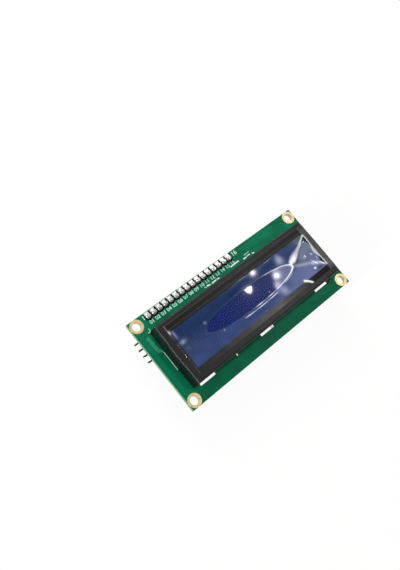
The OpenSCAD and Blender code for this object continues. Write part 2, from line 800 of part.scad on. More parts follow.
// moulded box, open below for the rotor and the base plate, with ticks round the dial
module trimmer_body() {
  h = trimmer_h - trimmer_foot;
  top = adapter_rear - trimmer_h;
  room_z = dial_z + dial_t;
  color("royalblue") translate([trimmer_at[0], trimmer_at[1], 0]) difference() {
    union() {
      block([trimmer_l, trimmer_w, h], top);
      for (sx = [-1, 1]) for (sy = [-1, 1])
        translate([sx * (trimmer_l / 2 - 0.7), sy * (trimmer_w / 2 - 0.7), 0])
          block([1.2, 1.2, trimmer_foot + eps], adapter_rear - trimmer_foot - eps);
    }
    translate([0, 0, top - 1]) cylinder(r = dial_r + run_gap, h = trimmer_h);
    translate([0, 0, room_z]) cylinder(r = flange_r + run_gap, h = trimmer_h);
    block([trimmer_l - 1, trimmer_w - 1, trimmer_h], trimmer_base_z);
    for (i = [0:tick_n - 1]) rotate((i + 0.5) * 360 / tick_n) translate([dial_r + 0.35, -0.12, top - 1])
      cube([0.75, 0.24, 1.15]);
    translate([-trimmer_l / 2, trimmer_w / 2, top]) rotate([0, 0, 45]) cube([0.6, 0.6, 2 * h + 4], center = true);
  }
}

// ceramic plate that closes the body and carries the track
module trimmer_base() {
  color("antiquewhite") translate([trimmer_at[0], trimmer_at[1], 0]) difference() {
    block([trimmer_l - 1 - 2 * run_gap, trimmer_w - 1 - 2 * run_gap, trimmer_base_t], trimmer_base_z);
    translate([-trimmer_at[0], -trimmer_at[1], 0]) at_trimmer_legs() hole(leg_r, adapter_rear - trimmer_h, adapter_rear);
  }
}

module trimmer_legs() {
  color("silver") at_trimmer_legs()
    translate([0, 0, trimmer_base_z]) cylinder(r = leg_r, h = adapter_z + stub - trimmer_base_z, $fn = 24);
}

// dial with crossed slots, and the flange that keeps it in the body
module trimmer_rotor() {
  color("lightgray") translate([trimmer_at[0], trimmer_at[1], dial_z]) difference() {
    union() {
      cylinder(r = dial_r, h = dial_t + run_gap + eps);
      translate([0, 0, dial_t + run_gap]) cylinder(r = flange_r, h = flange_t);
      cylinder(r = hub_r, h = trimmer_base_z - dial_z - run_gap);
    }
    for (a = [0, 90]) rotate(a) block([2 * dial_r + 1, dial_slot, dial_slot_h + 1], -1);
    translate([0, 0, -eps]) cylinder(r = dial_slot * 0.8, h = dial_slot_h);
  }
}

// ---- angled headers

module cable_header() {
  color([0.1, 0.1, 0.1]) translate([cable_at[0], cable_at[1], adapter_rear - strip_h]) rotate(90) strip(cable_pins);
}

module cable_pins_bent() {
  color("gold") at_cable_pins() mirror([1, 0, 0]) bent_pin(cable_reach);
}

module jumper_header() {
  color([0.1, 0.1, 0.1]) translate([jumper_at[0], jumper_at[1], adapter_rear - strip_h]) rotate(90) strip(2);
}

module jumper_pins_bent() {
  color("gold") at_jumper_pins() bent_pin(jumper_reach);
}

// ---- jumper cap, pushed on from +X

// room in the cap for the contact: one slot round each pin, joined across the closed end
cell = pin_side + 2 * (cap_gap + contact_t);
cell_l = cap_l - 0.7;

module jumper_cap() {
  color([0.15, 0.15, 0.16]) translate([cap_x, jumper_at[1], bend_z]) difference() {
    translate([0, -cap_w / 2, -cap_t / 2]) cube([cap_l, cap_w, cap_t]);
    for (s = [-0.5, 0.5]) translate([-1, s * pin_pitch - cell / 2, -cell / 2]) cube([cell_l + 1, cell, cell]);
    translate([cell_l - 0.8, -pin_pitch / 2, -cell / 2]) cube([0.8, pin_pitch, cell]);
    // test slot in the closed end and a finger notch at each of its corners
    translate([cell_l - 0.1, -0.6, -cell / 2]) cube([2, 1.2, cell]);
    for (s = [-1, 1]) translate([cap_l - 0.35, s * cap_w / 2 - 0.55, -cap_t / 2 - 1]) cube([1, 1.1, cap_t + 2]);
    for (sz = [-1, 1]) translate([cap_l - 1.9, -0.9, sz * cap_t / 2 - 0.2]) cube([3, 1.8, 0.4]);
  }
}

// one folded spring strip: a leaf above and below each pin, joined across the closed end
module jumper_contact() {
  color("gainsboro") translate([cap_x, jumper_at[1], bend_z]) {
    for (s = [-0.5, 0.5]) for (z = [-cell / 2, cell / 2 - contact_t])
      translate([0.5, s * pin_pitch - pin_side / 2, z]) cube([cell_l - 0.55, pin_side, contact_t]);
    translate([cell_l - 0.05 - contact_t, -pin_pitch / 2 - pin_side / 2, -cell / 2])
      cube([contact_t, pin_pitch + pin_side, cell]);
  }
}

// ---- small parts on the adapter board

module at_resistors() {
  for (p = pull_up_at) translate(p) rotate(90) children();
  for (p = low_row_at) translate(p) children();
}

module adapter_resistors() {
  color([0.15, 0.15, 0.16]) at_resistors() chip_part(part_h, adapter_rear);
}

module at_capacitors() {
  translate(small_cap_at) rotate(90) children();
  translate(big_cap_at) rotate(90) children();
}

module adapter_capacitors() {
  color("tan") at_capacitors() chip_part(part_h * 1.6, adapter_rear);
}

module power_led() {
  color("lightyellow") translate(led_at) rotate(90) {
    chip_part(led_h * 0.5, adapter_rear);
    translate([0, 0, adapter_rear - plate_t - led_h * 0.5]) mirror([0, 0, 1])
      cylinder(r1 = part_w * 0.45, r2 = part_w * 0.38, h = led_h * 0.5);
  }
}

// tinned ends and solder of every chip part, on their pads
module adapter_part_ends() {
  color("silver") {
    at_resistors() part_ends(part_h);
    at_capacitors() part_ends(part_h * 1.6);
    translate(led_at) rotate(90) part_ends(led_h * 0.5);
  }
}

module part_ends(h) {
  chip_ends(h, adapter_rear);
  for (s = [-1, 1]) translate([s * (part_l / 2 + 0.1), 0, 0])
    pad([0, 0], 2 * part_end + 2 * foot_t - 0.2, part_w + 0.2);
}

tr_l = 2.9;
tr_w = 1.3;
tr_h = 1;

module transistor() {
  color([0.16, 0.16, 0.17]) translate([transistor_at[0], transistor_at[1], 0])
    block([tr_l, tr_w, tr_h], lead_z - tr_h - 0.05);
}

module transistor_leads() {
  color("silver") translate([transistor_at[0], transistor_at[1], 0])
    for (l = [[-0.95, 1], [0.95, 1], [0, -1]]) translate([l[0], 0, 0]) {
      mirror([0, l[1] > 0 ? 0 : 1, 0]) translate([-0.2, 0, lead_z]) rotate([90, 0, 90]) linear_extrude(0.4) polygon([
        [tr_w / 2, -0.55], [tr_w / 2 + 0.2, -0.55], [tr_w / 2 + 0.32, -0.15], [tr_w / 2 + 0.6, -0.15],
        [tr_w / 2 + 0.6, 0], [tr_w / 2 + 0.2, 0], [tr_w / 2 + 0.08, -0.4], [tr_w / 2, -0.4]
      ]);
      pad([0, l[1] * (tr_w / 2 + 0.5)], 0.8, 0.9);
    }
}

main_board();
mounting_rings();
slot_pads();
board_pads();
board_resistors();
board_resistor_ends();
bezel();
protective_film();
front_polariser();
front_glass();
rear_glass();
rear_polariser();
zebra_strips();
diffuser_sheet();
light_guide();
reflector_sheet();
light_frame();
lamp_strip();
lamps();
controller_resin();
driver_resin();
pin_strip();
pins();
front_joints();
rear_joints();
adapter_board();
adapter_pads();
under_joints();
expander_chip();
expander_leads();
trimmer_body();
trimmer_base();
trimmer_legs();
trimmer_rotor();
cable_header();
cable_pins_bent();
jumper_header();
jumper_pins_bent();
jumper_cap();
jumper_contact();
adapter_resistors();
adapter_capacitors();
adapter_part_ends();
power_led();
transistor();
transistor_leads();
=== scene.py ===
import bpy
import bmesh
import math
from mathutils import Matrix, Vector, noise


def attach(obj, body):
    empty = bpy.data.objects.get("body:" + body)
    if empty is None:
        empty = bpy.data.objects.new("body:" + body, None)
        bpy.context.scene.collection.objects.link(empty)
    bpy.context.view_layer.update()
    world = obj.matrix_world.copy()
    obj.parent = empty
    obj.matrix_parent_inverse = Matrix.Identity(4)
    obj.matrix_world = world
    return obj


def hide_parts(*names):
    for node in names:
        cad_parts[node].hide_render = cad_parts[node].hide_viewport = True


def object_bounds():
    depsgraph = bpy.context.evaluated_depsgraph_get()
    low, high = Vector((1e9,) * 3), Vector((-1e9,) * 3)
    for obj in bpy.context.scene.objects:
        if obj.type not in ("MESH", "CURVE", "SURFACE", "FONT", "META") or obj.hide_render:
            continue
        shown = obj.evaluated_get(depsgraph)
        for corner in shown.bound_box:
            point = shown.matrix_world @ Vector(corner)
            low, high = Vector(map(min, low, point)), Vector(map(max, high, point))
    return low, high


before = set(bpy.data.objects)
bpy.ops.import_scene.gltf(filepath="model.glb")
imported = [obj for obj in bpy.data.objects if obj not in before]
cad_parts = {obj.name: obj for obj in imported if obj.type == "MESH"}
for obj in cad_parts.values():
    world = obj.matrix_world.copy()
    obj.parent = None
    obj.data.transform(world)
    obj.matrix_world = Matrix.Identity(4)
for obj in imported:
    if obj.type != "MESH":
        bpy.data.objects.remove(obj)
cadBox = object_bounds()
mm = 0.001
scene = bpy.context.scene
module = "module"  # the body that everything but the cap and the rotor rides on


def linear(hexColour):
    channels = [int(hexColour[i:i + 2], 16) / 255 for i in (1, 3, 5)]
    return tuple(c / 12.92 if c <= 0.04045 else ((c + 0.055) / 1.055) ** 2.4 for c in channels) + (1,)


def addNode(tree, kind, settings, links=None):
    node = tree.nodes.new(kind)
    for name, value in settings.items():
        if name in node.inputs:
            node.inputs[name].default_value = value
        else:
            setattr(node, name, value)
    for name, output in (links or {}).items():
        tree.links.new(output, node.inputs[name])
    return node


def newTree(name):
    material = bpy.data.materials.new(name)
    material.use_nodes = True
    tree = material.node_tree
    tree.nodes.clear()
    output = addNode(tree, "ShaderNodeOutputMaterial", {})
    return material, tree, output


def ramp(tree, factor, stops):
    node = addNode(tree, "ShaderNodeValToRGB", {}, {"Fac": factor})
    bar = node.color_ramp
    while len(bar.elements) < len(stops):
        bar.elements.new(0.5)
    for element, (place, colour) in zip(bar.elements, stops):
        element.position = place
        element.color = colour
    return node.outputs["Color"]


def paint(nodes, material):
    for name in nodes:
        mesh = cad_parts[name].data
        mesh.materials.clear()
        mesh.materials.append(material)


def finishPiece(name, bm, material, body=module, smooth=False):
    bmesh.ops.recalc_face_normals(bm, faces=bm.faces)
    mesh = bpy.data.meshes.new(name)
    bm.to_mesh(mesh)
    bm.free()
    for polygon in mesh.polygons:
        polygon.use_smooth = smooth
    mesh.materials.append(material)
    piece = bpy.data.objects.new(name, mesh)
    scene.collection.objects.link(piece)
    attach(piece, body)
    return piece


cameraSettings = {  # place in mm, turn in degrees
    "place": (-102.96, -12.20, 198.82), "turn": (21.445, -15.120, -40.513), "lens": 39.61,
    "filmSize": 36, "nearest": 0.01,
}
camera = bpy.data.objects.new("camera", bpy.data.cameras.new("camera"))
camera.data.lens = cameraSettings["lens"]
camera.data.sensor_width = cameraSettings["filmSize"]
camera.data.clip_start = cameraSettings["nearest"]
camera.location = Vector(cameraSettings["place"]) * mm
camera.rotation_euler = [math.radians(a) for a in cameraSettings["turn"]]
scene.collection.objects.link(camera)
scene.camera = camera
scene.view_settings.view_transform = "Standard"

studio = {
    "worldFill": 0.5,  # light that the white room gives
    "floorGlow": 0.92,  # how much of the floor is plain white, the rest shows the shadow
    "floorWhite": "#f4f3f0", "floorSize": 4, "floorGap": 0.05,  # half width in m, gap under the part in mm
    "keyPower": 2.0, "keySize": 0.25, "keyPlace": (40, 480, 330),
    # a strip on the left, mirrored in the bezel's left fold
    "sidePower": 2.4, "sideSize": (0.022, 0.12), "sidePlace": (-548, 31, 252),
    "lampPower": 0.05, "lampSize": 0.0066, "lampReach": 400,  # reach in mm
    # where the three ceiling lamps are mirrored in the display, and the way to each lamp from there
    "lampSpots": [((0.6, 2.1, 7.1), (0.4742, 0.0655, 0.878)),
                  ((5.8, 5.8, 7.1), (0.4950, -0.0400, 0.868)),
                  ((12.8, 0.2, 7.1), (0.5161, 0.0553, 0.855))],
}


def cameraRays(tree):
    path = addNode(tree, "ShaderNodeLightPath", {})
    most = addNode(tree, "ShaderNodeMath", {"operation": "MAXIMUM"})
    tree.links.new(path.outputs["Is Camera Ray"], most.inputs[0])
    tree.links.new(path.outputs["Is Glossy Ray"], most.inputs[1])
    every = addNode(tree, "ShaderNodeMath", {"operation": "MAXIMUM"})
    tree.links.new(most.outputs[0], every.inputs[0])
    tree.links.new(path.outputs["Is Transmission Ray"], every.inputs[1])
    return every.outputs[0]


def makeStudio():
    world = bpy.data.worlds.new("white room")
    scene.world = world
    world.use_nodes = True
    tree = world.node_tree
    tree.nodes.clear()
    fill = addNode(tree, "ShaderNodeBackground",
                   {"Color": (1, 1, 1, 1), "Strength": studio["worldFill"]})
    plain = addNode(tree, "ShaderNodeBackground", {"Color": (1, 1, 1, 1), "Strength": 1})
    mix = addNode(tree, "ShaderNodeMixShader", {}, {"Fac": cameraRays(tree)})
    tree.links.new(fill.outputs[0], mix.inputs[1])
    tree.links.new(plain.outputs[0], mix.inputs[2])
    addNode(tree, "ShaderNodeOutputWorld", {}, {"Surface": mix.outputs[0]})

    # painted board: matt white, glowing a little so that it reads as paper
    material, tree, output = newTree("matt white paper")
    matt = addNode(tree, "ShaderNodeBsdfDiffuse", {"Color": linear(studio["floorWhite"])})
    glow = addNode(tree, "ShaderNodeEmission", {"Color": (1, 1, 1, 1), "Strength": 1})
    share = addNode(tree, "ShaderNodeMath", {"operation": "MULTIPLY"})
    tree.links.new(cameraRays(tree), share.inputs[0])
    share.inputs[1].default_value = studio["floorGlow"]
    mix = addNode(tree, "ShaderNodeMixShader", {}, {"Fac": share.outputs[0]})
    tree.links.new(matt.outputs[0], mix.inputs[1])
    tree.links.new(glow.outputs[0], mix.inputs[2])
    gone = addNode(tree, "ShaderNodeBsdfTransparent", {})
    oneSided = addNode(tree, "ShaderNodeMixShader", {}, {
        "Fac": addNode(tree, "ShaderNodeNewGeometry", {}).outputs["Backfacing"]})  # open from below
    tree.links.new(mix.outputs[0], oneSided.inputs[1])
    tree.links.new(gone.outputs[0], oneSided.inputs[2])
    tree.links.new(oneSided.outputs[0], output.inputs["Surface"])
    bm = bmesh.new()
    bmesh.ops.create_grid(bm, x_segments=1, y_segments=1, size=studio["floorSize"])
    bmesh.ops.translate(bm, verts=bm.verts, vec=(0, 0, cadBox[0][2] - studio["floorGap"] * mm))
    mesh = bpy.data.meshes.new("floor")
    bm.to_mesh(mesh)
    bm.free()
    mesh.materials.append(material)
    floor = bpy.data.objects.new("floor", mesh)
    scene.collection.objects.link(floor)


def addLamp(name, place, size, power, shape="SQUARE"):
    # an area lamp that faces the middle of the part; a strip is given by two sizes
    lamp = bpy.data.objects.new(name, bpy.data.lights.new(name, "AREA"))
    lamp.data.shape = shape
    if isinstance(size, tuple):
        lamp.data.shape = "RECTANGLE"
        size, lamp.data.size_y = size
    lamp.data.size = size
    lamp.data.energy = power
    lamp.location = place
    lamp.rotation_mode = "QUATERNION"
    lamp.rotation_quaternion = Vector(place).to_track_quat("Z", "Y")
    scene.collection.objects.link(lamp)


makeStudio()
addLamp("keyLight", Vector(studio["keyPlace"]) * mm, studio["keySize"], studio["keyPower"])
addLamp("sideLight", Vector(studio["sidePlace"]) * mm, studio["sideSize"], studio["sidePower"])
for number, (glint, way) in enumerate(studio["lampSpots"]):
    place = (Vector(glint) + Vector(way) * studio["lampReach"]) * mm
    addLamp("ceilingLamp" + str(number + 1), place, studio["lampSize"], studio["lampPower"], "DISK")
print("studio ready")


# finishes: patch is the size in mm of the soft changes of colour, grain that of the bumps,
# bump their height in mm, and body the nodes that have the finish
finishes = {
    # solder mask over glass fibre: deep green, an even satin with faint cloudy depth
    "green solder mask": dict(
        low="#045437", high="#08714f", edge="#6f9478", patch=11, rough=0.35, grain=0.5, bump=0.006,
        shine=0.05, body=["main_board"]),
    # black solder mask: near black with a violet cast, satin
    "black solder mask": dict(
        low="#15141b", high="#23222c", edge="#5d5a4c", patch=6, rough=0.36, grain=0.5, bump=0.005,
        shine=0.25, body=["adapter_board"]),
    # gold plated over copper: pale warm metal, a little uneven
    "gold plated copper": dict(
        low="#b5a274", high="#cfbe8c", patch=1.6, rough=0.34, metal=1, grain=0.3, bump=0.006,
        body=["mounting_rings", "slot_pads", "board_pads"]),
    # hot-dip solder: bright and lumpy, soft highlights
    "tin solder": dict(
        low="#aeb0ae", high="#dcdedc", patch=0.5, rough=0.27, metal=1, grain=0.35, bump=0.03,
        body=["front_joints", "rear_joints", "under_joints"]),
    # tinned steel: bright grey, fine drawn lines
    "tinned steel": dict(
        low="#a9a8a3", high="#dddcd8", patch=0.8, rough=0.3, metal=1, grain=0.2, bump=0.006,
        body=["adapter_pads", "board_resistor_ends", "adapter_part_ends", "expander_leads",
              "transistor_leads", "trimmer_legs", "jumper_contact"]),
    # nickel under a gold flash, rubbed in the plug: pale grey with a warm cast
    "flashed pin": dict(
        low="#a59e8c", high="#d8d2c2", patch=1.2, rough=0.28, metal=1, grain=0.25, bump=0.005,
        body=["pins", "cable_pins_bent", "jumper_pins_bent"]),
    # enamelled steel: near black, satin, rubbed in fine lines
    "black enamel": dict(
        low="#08080a", high="#0e0e11", patch=5, rough=0.36, grain=0.6, bump=0.001, shine=0.22,
        scratch=0.35, body=["bezel"]),
    # moulded nylon: black, matt, fine grain
    "black nylon": dict(
        low="#0d0d0f", high="#1a1a1d", patch=2, rough=0.5, grain=0.2, bump=0.012, shine=0.2,
        body=["pin_strip", "cable_header", "jumper_header", "jumper_cap"]),
    # moulded epoxy: warm charcoal, matt, sandy
    "chip epoxy": dict(
        low="#262521", high="#3b3a34", patch=1.4, rough=0.55, grain=0.09, bump=0.01, scratch=0.4,
        body=["expander_chip", "transistor"]),
    # poured resin: black, self-levelled, with soft ripples in its gloss
    "poured resin": dict(
        low="#0d0c0e", high="#1b191c", patch=3, rough=0.34, grain=2.2, bump=0.09, shine=0.3,
        body=["controller_resin", "driver_resin"]),
    # overglaze on a chip resistor: black and slightly glossy
    "black overglaze": dict(
        low="#19191b", high="#2c2c30", patch=0.7, rough=0.35, grain=0.15, bump=0.008,
        body=["board_resistors", "adapter_resistors"]),
    # fired ceramic of a chip capacitor: tan, matt
    "fired tan ceramic": dict(
        low="#8f7451", high="#b3956d", patch=0.6, rough=0.6, grain=0.1, bump=0.008,
        body=["adapter_capacitors"]),
    # moulded glass-filled nylon: strong blue, semi-gloss
    "blue nylon": dict(
        low="#1f6fe0", high="#3d8bf2", patch=2.4, rough=0.38, grain=0.3, bump=0.012, coat=0.1,
        body=["trimmer_body"]),
    # alumina plate: cream white
    "alumina": dict(
        low="#d8d0bd", high="#ece6d8", patch=1, rough=0.55, grain=0.12, bump=0.005,
        body=["trimmer_base"]),
    # turned and plated brass: grey metal, brushed by screwdrivers
    "plated rotor": dict(
        low="#8f9397", high="#cfd2d4", patch=0.5, rough=0.32, metal=1, grain=0.12, bump=0.01,
        scratch=0.5, body=["trimmer_rotor"]),
    # cast lens of the lamp: milky cream, glossy
    "cast lens": dict(
        low="#e6dfae", high="#f6f1cf", patch=0.6, rough=0.22, grain=0.4, bump=0.004, coat=0.4,
        body=["power_led", "lamps"]),
    # silicone rubber with its carbon layers hidden: pink, dull
    "silicone rubber": dict(
        low="#b98585", high="#d6a3a2", patch=1.5, rough=0.7, grain=0.2, bump=0.01,
        body=["zebra_strips"]),
    # white moulded frame and sheets behind the glass: chalky
    "white backlight plastic": dict(
        low="#dcdbd4", high="#efeee9", patch=3, rough=0.6, grain=0.4, bump=0.006,
        body=["diffuser_sheet", "reflector_sheet", "light_frame", "lamp_strip"]),
}
rubbing = {"stretch": (0.06, 1, 1), "turn": 0.5, "fine": 2600}  # fine rubbed lines


def makeFinish(name, s):
    material, tree, output = newTree(name)
    place = addNode(tree, "ShaderNodeTexCoord", {}).outputs["Object"]
    cloud = addNode(tree, "ShaderNodeTexNoise",
                    {"Scale": 1 / (s["patch"] * mm), "Detail": 4, "Roughness": 0.6}, {"Vector": place})
    colour = ramp(tree, cloud.outputs["Fac"], [(0.3, linear(s["low"])), (0.72, linear(s["high"]))])
    if "edge" in s:  # the sawn edges show the glass fibre
        normal = addNode(tree, "ShaderNodeSeparateXYZ", {}, {
            "Vector": addNode(tree, "ShaderNodeNewGeometry", {}).outputs["Normal"]})
        side = addNode(tree, "ShaderNodeMath", {"operation": "ABSOLUTE"})
        tree.links.new(normal.outputs["Z"], side.inputs[0])
        colour = addNode(tree, "ShaderNodeMixRGB", {"Color1": linear(s["edge"])},
                         {"Fac": side.outputs[0], "Color2": colour}).outputs["Color"]
    fine = addNode(tree, "ShaderNodeTexNoise", {"Scale": 1 / (s["grain"] * mm), "Detail": 5},
                   {"Vector": place})
    height = fine.outputs["Fac"]
    if "scratch" in s:  # rubbed lines: a long thin noise
        long = addNode(tree, "ShaderNodeMapping",
                       {"Scale": rubbing["stretch"], "Rotation": (0, 0, rubbing["turn"])}, {"Vector": place})
        lines = addNode(tree, "ShaderNodeTexNoise", {"Scale": rubbing["fine"], "Detail": 3},
                        {"Vector": long.outputs["Vector"]})
        lineHeight = ramp(tree, lines.outputs["Fac"], [
            (0.62, (0, 0, 0, 1)), (0.72, (s["scratch"],) * 3 + (1,))])
        height = addNode(tree, "ShaderNodeMixRGB", {"blend_type": "SUBTRACT", "Fac": 0.5},
                         {"Color1": height, "Color2": lineHeight}).outputs["Color"]
    bump = addNode(tree, "ShaderNodeBump", {"Strength": 0.7, "Distance": s["bump"] * mm}, {"Height": height})
    dull = ramp(tree, cloud.outputs["Fac"], [
        (0.25, (s["rough"] * 0.8,) * 3 + (1,)), (0.8, (s["rough"] * 1.25,) * 3 + (1,))])
    shader = addNode(tree, "ShaderNodeBsdfPrincipled", {
        "Metallic": s.get("metal", 0), "Coat Weight": s.get("coat", 0), "Coat Roughness": 0.2,
        "Specular IOR Level": s.get("shine", 0.5)},
        {"Base Color": colour, "Roughness": dull, "Normal": bump.outputs["Normal"]})
    tree.links.new(shader.outputs[0], output.inputs["Surface"])
    return material


made = {}
for name, settings in finishes.items():
    made[name] = makeFinish(name, settings)
    paint(settings["body"], made[name])


def makeClear(name, hexColour, rough, see, nodes):
    # clear moulding or glass: shows what is behind it, with a hard gloss and faint dust
    material, tree, output = newTree(name)
    place = addNode(tree, "ShaderNodeTexCoord", {}).outputs["Object"]
    dust = addNode(tree, "ShaderNodeTexNoise", {"Scale": 900, "Detail": 6}, {"Vector": place})
    dull = ramp(tree, dust.outputs["Fac"], [(0.4, (rough,) * 3 + (1,)), (0.7, (rough + 0.1,) * 3 + (1,))])
    shader = addNode(tree, "ShaderNodeBsdfPrincipled",
                     {"Base Color": linear(hexColour), "IOR": 1.5, "Transmission Weight": see},
                     {"Roughness": dull})
    tree.links.new(shader.outputs[0], output.inputs["Surface"])
    paint(nodes, material)


makeClear("float glass", "#d8ebe6", 0.03, 0.9, ["front_glass", "rear_glass"])
makeClear("cast acrylic", "#eef5f6", 0.08, 0.8, ["light_guide"])


polariser = {"left": "#06226a", "middle": "#041a5e", "right": "#10205f", "reach": 32}


def makePolariser():
    # polarising film over dark blue liquid crystal: ink blue, glossy, brighter towards one side
    material, tree, output = newTree("blue polariser")
    place = addNode(tree, "ShaderNodeTexCoord", {}).outputs["Object"]
    axis = addNode(tree, "ShaderNodeSeparateXYZ", {}, {"Vector": place})
    across = addNode(tree, "ShaderNodeMapRange",
                     {"From Min": -polariser["reach"] * mm, "From Max": polariser["reach"] * mm},
                     {"Value": axis.outputs["X"]})
    base = ramp(tree, across.outputs["Result"], [
        (0, linear(polariser["left"])), (0.45, linear(polariser["middle"])), (1, linear(polariser["right"]))])
    cells = addNode(tree, "ShaderNodeTexNoise", {"Scale": 120, "Detail": 3}, {"Vector": place})
    colour = addNode(tree, "ShaderNodeMixRGB", {"blend_type": "MULTIPLY", "Fac": 0.06},
                     {"Color1": base, "Color2": cells.outputs["Color"]}).outputs["Color"]
    shader = addNode(tree, "ShaderNodeBsdfPrincipled", {
        "Roughness": 0.16, "IOR": 1.49, "Specular IOR Level": 0.015,
        "Coat Weight": 0.16, "Coat Roughness": 0.02}, {"Base Color": colour})
    tree.links.new(shader.outputs[0], output.inputs["Surface"])
    return material


paint(["front_polariser", "rear_polariser"], makePolariser())
print("finishes ready")


# the film is one sheet: it follows the bezel's face, sags on to the display in a long ellipse and
# rises in creases at its loose end; lengths in mm, bent lines as points
film = {
    "low": (-32.8, -10.0), "high": (34.9, 9.46), "steps": (340, 120), "thick": 0.05,
    "faceZ": 7.15, "displayZ": 6.7, "window": (-32.15, 32.15, -8.0, 6.8),
    "centre": (-0.4, -0.45), "patch": (20.8, 3.75),  # the ellipse and its half lengths
    "lip": 0.1,  # height of the rim where the film leaves the display
    "wrinkle": 0.02,
    # broad ridge: its lower and upper side and the strength of its painted highlight, by x
    "ridgeLow": [(20.2, -0.2), (22.5, -0.2), (24.5, 0.8), (26, 1.9), (28, 3.2), (31, 5.3), (32.2, 5.9)],
    "ridgeHigh": [(20.2, 1.2), (22, 2.3), (26, 3.5), (28, 4.3), (31, 5.8), (32.2, 6.4)],
    "ridgeHighlight": [(19.6, 0), (20.4, 0.8), (23.2, 0.84), (25.2, 0.55), (28, 0.42), (30, 0.6), (32.4, 0.5)],
    # a faint crease, a bright one to the lower corner, and a white streak on the bezel; the creases are white
    # with painted highlight
    "faint": [(21.2, -1.1), (24.0, -2.4), (27.2, -3.8)],
    "glint": [(27.4, -3.7), (29.0, -4.9), (30.4, -5.7), (31.3, -6.7), (32.3, -7.5)],
    "streak": [(20.2, -7.6), (21.4, -8.5), (22.6, -9.8)],
    # fold along the window's right end, x by y, white with a painted highlight
    "fold": [(-7.6, 32.5), (-5.5, 32.45), (-4.2, 32.3), (-3, 31.85), (-1.5, 31.4), (0, 31.6),
             (1, 32.0), (2.5, 32.35), (4.5, 32.45), (5.4, 32.4), (5.9, 31.9)],
    "lifts": {"ridge": 0.4, "glint": 0.25, "faint": 0.1, "fold": 0.12},  # height of each crease
    # soft spots: strength, place, half width, half height; the violet and lamp spots are painted glints of
    # the lamps
    "violetGlints": [(0.7, (10.6, -2.8), 1.4, 1.2), (0.34, (0.5, 2.1), 2.1, 1.7), (0.5, (13.0, 0.1), 1.7, 1.5),
                    (0.3, (5.9, 5.6), 2, 1.6), (0.35, (11.4, -5.7), 1.6, 1.6), (0.4, (-30.6, 1.6), 1.2, 0.7),
                    (0.3, (-31.4, 5.2), 0.5, 1.6), (0.3, (-20.2, 2.2), 0.5, 0.5)],
    "lampSpots": [(1.4, (5.9, 6.0), 0.95, 0.85), (1.3, (13.0, 0.1), 0.72, 0.62)],
    # small white dots, added to the white of the film
    "whiteDots": [(1, (27.3, -6.3), 0.42, 0.4), (0.5, (6.4, -2.9), 0.3, 0.3),
               (0.35, (-16.2, -3.7), 0.3, 0.25), (0.5, (-32.4, 6.6), 0.35, 0.6)],
}
filmTint = {name: Vector(linear(hexColour)[:3]) for name, hexColour in {
    "upper": "#1d3561", "lower": "#374979", "right": "#69739e",  # haze over the display
    "loose": "#656e89", "band": "#617382", "corner": "#55555d", "shadow": "#303f59",  # at the loose end
    "flat": "#1d2761", "flatHaze": "#6f769e",  # in the flat patch
    "violet": "#cbcbea", "rim": "#ffffff", "white": "#fffffe",  # painted glints, and painted highlights on the rims and creases
    "edge": "#19191d", "sliver": "#0d1018",  # shadows at the window's edge and by the fold
}.items()}


def ease(value):
    t = min(1, max(0, value))
    return t * t * (3 - 2 * t)


def bell(value, width):
    return math.exp(-(value / width) ** 2)


def spot(x, y, place, wide, high):
    return math.exp(-((x - place[0]) / wide) ** 2 - ((y - place[1]) / high) ** 2)


def spots(x, y, rows):
    return sum(strength * spot(x, y, place, wide, high) for strength, place, wide, high in rows)


def follow(points, along):
    # value at a place on a bent line given by points
    if along <= points[0][0]:
        return points[0][1]
    for (a, low), (b, high) in zip(points, points[1:]):
        if along <= b:
            return low + (high - low) * (along - a) / (b - a)
    return points[-1][1]


def farFrom(x, y, points):
    # distance from a bent line, and how far along it
    best = (math.inf, 0)
    for i, (a, b) in enumerate(zip(points, points[1:])):
        dx, dy = b[0] - a[0], b[1] - a[1]
        t = min(1, max(0, ((x - a[0]) * dx + (y - a[1]) * dy) / (dx * dx + dy * dy)))
        best = min(best, (math.hypot(x - a[0] - t * dx, y - a[1] - t * dy), (i + t) / (len(points) - 1)))
    return best


def cloud(x, y, size, seed):
    return noise.noise(Vector((x / size, y / size, seed)))


def inWindow(x, y):
    # distance to the window's edge, below 0 over the bezel
    left, right, bottom, top = film["window"]
    return min(x - left, right - x, y - bottom, top - y)


def filmShape(x, y):
    # height of the film, with the ellipse number e: 1 on the edge of the patch that touches the display
    e = math.hypot((x - film["centre"][0]) / film["patch"][0], (y - film["centre"][1]) / film["patch"][1])
    inside = inWindow(x, y)
    climb = 1
    if inside > 0:
        out = max(0, (e - 1)) * 2.2
        climb = ease(out / (out + inside * 0.32)) if out > 0 else 0
    z = film["displayZ"] + (film["faceZ"] - film["displayZ"]) * climb
    if inside > 0:
        z += film["lip"] * bell(e - 1.06, 0.05)
    wrinkle = cloud(x, y * 1.3, 4.5, 1.3) * film["wrinkle"]
    z += wrinkle * ease((e - 1) * 1.5) * (0.3 if inside <= 0 else 1)
    return z, e, inside


